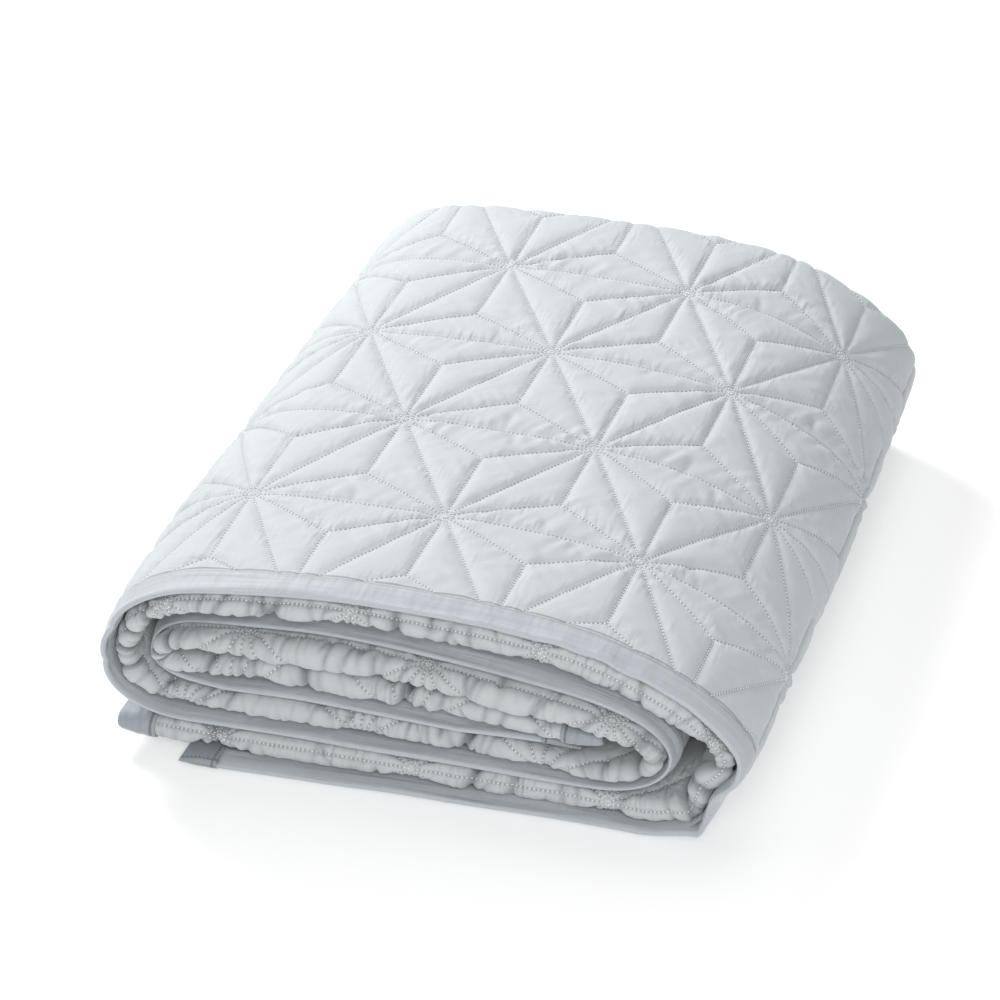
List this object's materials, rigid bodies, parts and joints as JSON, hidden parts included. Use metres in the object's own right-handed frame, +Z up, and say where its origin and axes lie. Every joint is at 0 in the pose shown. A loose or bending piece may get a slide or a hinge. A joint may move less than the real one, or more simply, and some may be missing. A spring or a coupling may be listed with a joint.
{
  "type": "folded quilt",
  "caption": "Padded quilt with hemp-leaf quilting and a bound edge, folded lengthwise and rolled flat into a resting bundle.",
  "frame": {"origin": "middle of the bundle's box, on the surface it rests on", "axes": "+Z up, +Y from the open front end to the back folds, +X across the roll to the right seen from the front"},
  "size_m": [0.4252, 0.5532, 0.1532],
  "materials": {
    "quilt": "pale blue-grey soft cotton, warm grey on the reverse",
    "binding": "slate cotton, slightly smooth"
  },
  "bodies": {
    "root": {"quilt": "quilt", "binding_front": "binding", "binding_back": "binding", "binding_outer_end": "binding", "binding_inner_end": "binding"}
  },
  "joints": []
}
